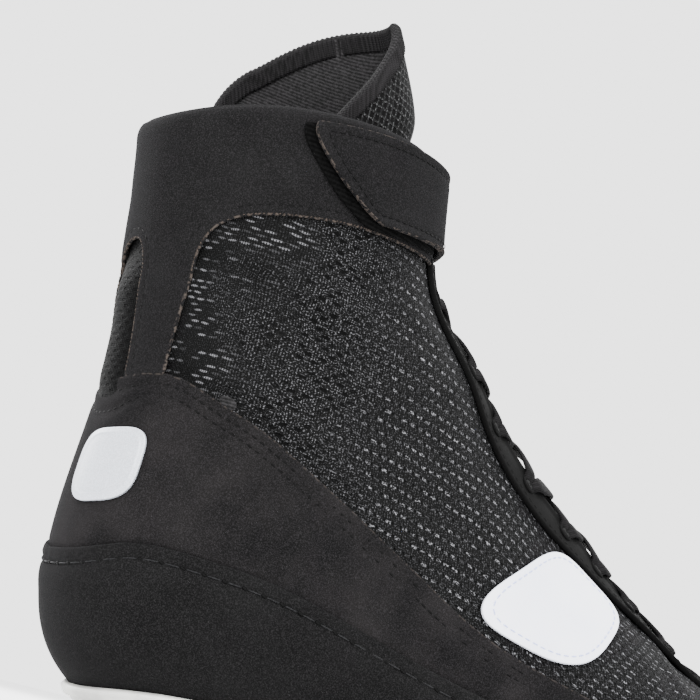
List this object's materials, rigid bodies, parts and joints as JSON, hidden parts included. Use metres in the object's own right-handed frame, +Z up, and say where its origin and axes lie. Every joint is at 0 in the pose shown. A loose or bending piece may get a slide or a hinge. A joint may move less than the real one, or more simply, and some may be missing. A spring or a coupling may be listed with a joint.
{
  "type": "wrestling shoe",
  "caption": "High-top wrestling shoe with a knitted upper, suede overlays and sole wrap, crossed laces under an ankle strap, and two rubber pads as its sole.",
  "frame": {"origin": "middle of the shoe's box, on the floor it stands on", "axes": "+X to the toe, +Y to the medial side, +Z up; a right shoe"},
  "size_m": [0.2908, 0.103, 0.2063],
  "materials": {
    "black_knit": "matte knitted mesh with small oval holes",
    "black_suede": "matte brushed microfibre suede",
    "black_synthetic": "smooth matte synthetic",
    "black_lace": "flat woven lace",
    "black_hook": "hook tape",
    "grey_foam": "cloth over foam",
    "white_rubber": "translucent off-white, satin",
    "silver_plastic": "moulded, satin silver white",
    "white_synthetic": "smooth white synthetic"
  },
  "bodies": {
    "root": {"upper": "black_knit", "sole_wrap": "black_suede", "counter": "black_suede", "collar_cuff": "black_suede", "toe_cap": "black_suede", "eyestay_lateral": "black_synthetic", "eyestay_medial": "black_synthetic", "lace_1": "black_lace", "lace_2": "black_lace", "lace_3": "black_lace", "lace_4": "black_lace", "lace_5": "black_lace", "lace_6": "black_lace", "lace_7": "black_lace", "lace_8": "black_lace", "tongue": "black_knit", "insole": "grey_foam", "outsole_heel": "white_rubber", "outsole_forefoot": "white_rubber", "strap": "black_suede", "strap_hook": "black_hook", "heel_badge": "silver_plastic", "patch_lateral": "white_synthetic", "patch_medial": "white_synthetic"}
  },
  "joints": []
}
